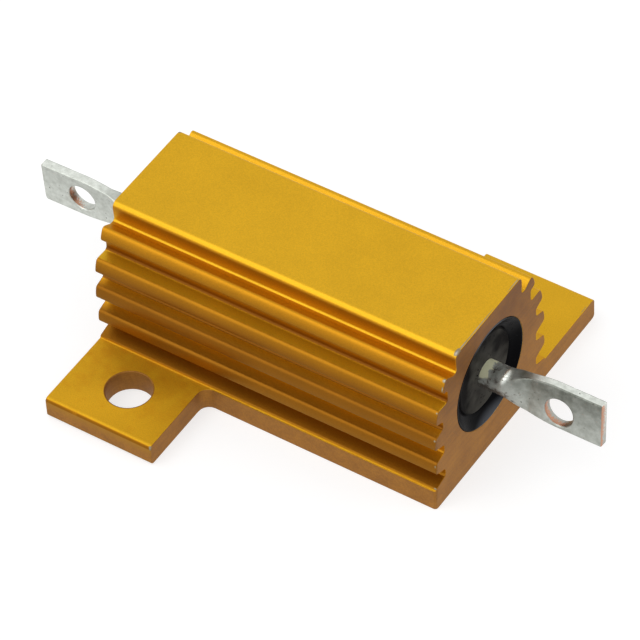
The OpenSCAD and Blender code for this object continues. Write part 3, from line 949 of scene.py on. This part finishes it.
def marksAt(point, trim, sizes):
    # how strongly each mark shows at a point of the straight terminal
    x, y, z = point
    joint, fromBody = trim["joint"], x - bodyEnd
    besideEye = x - sizes["bladeEnd"] + trim["eyeOffset"], z + trim["eyeDrop"]
    facing = math.cos(math.atan2(besideEye[1], besideEye[0]) - math.radians(trim["copperTurn"]))
    if math.hypot(*besideEye) < terminal["eyeRadius"] + 0.03:
        punched = ease(facing, -0.5, 0.5) if y < 0 else 0.1
    elif x - shearedShift(x, z, trim, sizes) > sizes["bladeEnd"] - 0.02:
        punched = 1 if y < -0.05 else 0.2
    else:
        punched = 0

    reach, crest = math.hypot(y, z), terminal["drop"][0]
    drop = ease(solderDrop(x, y / reach, z / reach), 0, terminal["drop"][-1] * 0.55)
    drop *= joint * ease(fromBody, crest - 0.05, crest + 0.3)
    around = joint - drop
    # scorch specks all round the joint, and painted shade browning the whole underside
    burntAndShaded = max(ease(z, 0.4, -0.4), 0.42 * ease(fromBody, 2.8, 1.2))
    # painted highlight: tarnish is left off the flat top edge, so that it stays light
    onTopEdge = z > 0 and abs(y) < terminal["thickness"] / 2 - 0.07
    paintedEdgeHighlight = ease(x, sizes["pressEnd"] - 1.0, sizes["pressEnd"] + 0.8) if onTopEdge else 0
    fresh = joint * 0.35 * ease(fromBody, 2.6, 1.0)
    upward = 0.8 + 0.2 * max(-1, min(1, z / terminal["leadRadius"]))
    return {
        "punched": punched,
        "fluxed": around * ease(fromBody, 0.9, -0.1) * ease(z, 0.0, 0.7),
        "tarnished": trim["tarnish"] * (1 - max(drop, paintedEdgeHighlight, fresh)) * upward,
        "scorched": around * burntAndShaded * ease(fromBody, 2.8, 0.8),
        "soldered": drop,
        "dulled": around * ease(fromBody, 3.2, 1.4),
    }


def makeTerminals():
    material = newMaterial(tinnedCopper, terminal["noises"])
    for name, trim in bladeTrims.items():
        low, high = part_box("terminal_" + name)
        outer = max(high.x, -low.x) / mm
        corner = terminal["width"] / 2 * math.tan(math.radians(abs(trim["slope"]) - trim["droop"]))
        sizes = {"start": min(abs(low.x), abs(high.x)) / mm, "bladeEnd": outer - corner}
        sizes["pressEnd"] = sizes["bladeEnd"] - terminal["parallel"] - terminal["flare"]
        sizes["pressStart"] = sizes["pressEnd"] - terminal["press"]
        piece = newPiece(name + "Terminal", loftTerminal(trim, sizes))
        punch = newPiece(name + "Punch", eyePunch(trim, sizes))
        hole = piece.modifiers.new("eye", "BOOLEAN")
        hole.operation = "DIFFERENCE"
        hole.solver = "EXACT"
        hole.object = punch
        bake(piece)
        bpy.data.objects.remove(punch)
        piece.data.materials.clear()
        piece.data.materials.append(material)

        shape = bmesh.new()
        shape.from_mesh(piece.data)
        layers = {mark: shape.verts.layers.float.new(mark) for mark in bladeMarks}
        for vert in shape.verts:
            for mark, strength in marksAt(vert.co, trim, sizes).items():
                vert[layers[mark]] = strength
            vert.co = bend(vert.co, trim, sizes)
        bmesh.ops.recalc_face_normals(shape, faces=shape.faces)
        shape.to_mesh(piece.data)
        shape.free()
        smoothOver(piece, 45)
        standFor(piece, "terminal_" + name)


makeTerminals()
print("terminals done")

makeMoulding()
print("moulding done")

makeElement()
print("element done")


# studio
camera = {
    "azimuth": 35.636,
    "elevation": 46.928,
    "roll": -3.567,
    "distance": 307.51,
    "aim": (1.205, -1.659, 6.8),
    "lens": 257.82,
}
studio = {
    "worldDiffuse": 0.7,
    "floorColour": "#F4F4F4",
    "floorSeen": "#ACACAC",    # with the glow it makes white in the open and leaves the shadow light
    "floorGlow": 0.68,
    "floorHalf": 1.5,          # metres
    "floorDrop": 0.02,         # so that the mounting face and the floor don't fight
    "softboxes": [
        # place and size in metres, watts
        ((-0.18, -0.14, 0.39), 0.24, 0.32),
        ((-0.14, -0.34, 0.20), 0.30, 0.35),
        ((0.34, 0.10, 0.26), 0.24, 0.25),
    ],
}


def placeCamera():
    data = bpy.data.cameras.new("camera")
    data.lens, data.sensor_width = camera["lens"], 36
    data.clip_start = 0.01
    data.clip_end = 10
    azimuth, elevation, roll = (math.radians(camera[k]) for k in ("azimuth", "elevation", "roll"))
    back = Vector((math.sin(azimuth) * math.cos(elevation), -math.cos(azimuth) * math.cos(elevation),
                   math.sin(elevation)))
    right = Vector((math.cos(azimuth), math.sin(azimuth), 0))
    turned = Matrix.Rotation(roll, 3, back) @ right
    axes = Matrix((turned, back.cross(turned), back)).transposed()
    piece = newPiece("camera", data)
    piece.matrix_world = Matrix.LocRotScale(
        Vector(camera["aim"]) * mm + back * camera["distance"] * mm, axes.to_quaternion(), None)
    bpy.context.scene.camera = piece


def seenRays(add):
    # 1 for what the camera sees straight, in a gloss or through something clear
    rays = add("ShaderNodeLightPath").outputs
    direct = add("ShaderNodeMath", {"operation": "MAXIMUM"}, rays["Is Camera Ray"], rays["Is Glossy Ray"])
    return add("ShaderNodeMath", {"operation": "MAXIMUM"}, direct, rays["Is Transmission Ray"])


def lightStudio():
    for number, (place, size, watts) in enumerate(studio["softboxes"]):
        data = bpy.data.lights.new(f"softbox{number}", "AREA")
        data.size = size
        data.energy = watts
        lamp = newPiece(f"softbox{number}", data)
        lamp.location = place
        lamp.rotation_mode = "QUATERNION"
        lamp.rotation_quaternion = Vector(place).to_track_quat("Z", "Y")

    world = bpy.data.worlds.new("whiteRoom")
    world.use_nodes = True
    world.node_tree.nodes.clear()
    add = partial(addNode, world.node_tree)
    ambient = add("ShaderNodeBackground", {"Color": "#FFFFFF", "Strength": studio["worldDiffuse"]})
    white = add("ShaderNodeBackground", {"Color": "#FFFFFF"})
    mixed = add("ShaderNodeMixShader", {}, seenRays(add), ambient, white)
    add("ShaderNodeOutputWorld", {"Surface": mixed})
    bpy.context.scene.world = world


def paleSheet(add, place):
    # pale matt sheet, white to the eye and plain to the light
    seen = seenRays(add)
    glow = add("ShaderNodeMath", {"operation": "MULTIPLY"}, seen, studio["floorGlow"])
    colour = add("ShaderNodeMix", {
        "data_type": "RGBA", "Factor": seen, "A": studio["floorColour"], "B": studio["floorSeen"]})
    shader = add("ShaderNodeBsdfPrincipled", {
        "Roughness": 1.0, "Specular IOR Level": 0.0, "Emission Color": "#FFFFFF", "Base Color": colour,
        "Emission Strength": glow})
    # clear from below, so that the mounting face can be looked at
    facing = add("ShaderNodeNewGeometry")
    clear = add("ShaderNodeBsdfTransparent")
    return add("ShaderNodeMixShader", {}, facing.outputs["Backfacing"], shader, clear)


def layFloor():
    half, low = studio["floorHalf"], -studio["floorDrop"] * mm
    mesh = bpy.data.meshes.new("floor")
    mesh.from_pydata([(-half, -half, low), (half, -half, low), (half, half, low), (-half, half, low)], [],
                     [(0, 1, 2, 3)])
    mesh.materials.append(newMaterial(paleSheet, {}))
    newPiece("floor", mesh)


placeCamera()
lightStudio()
layFloor()
bpy.context.scene.view_settings.view_transform = "Standard"
print("studio done")
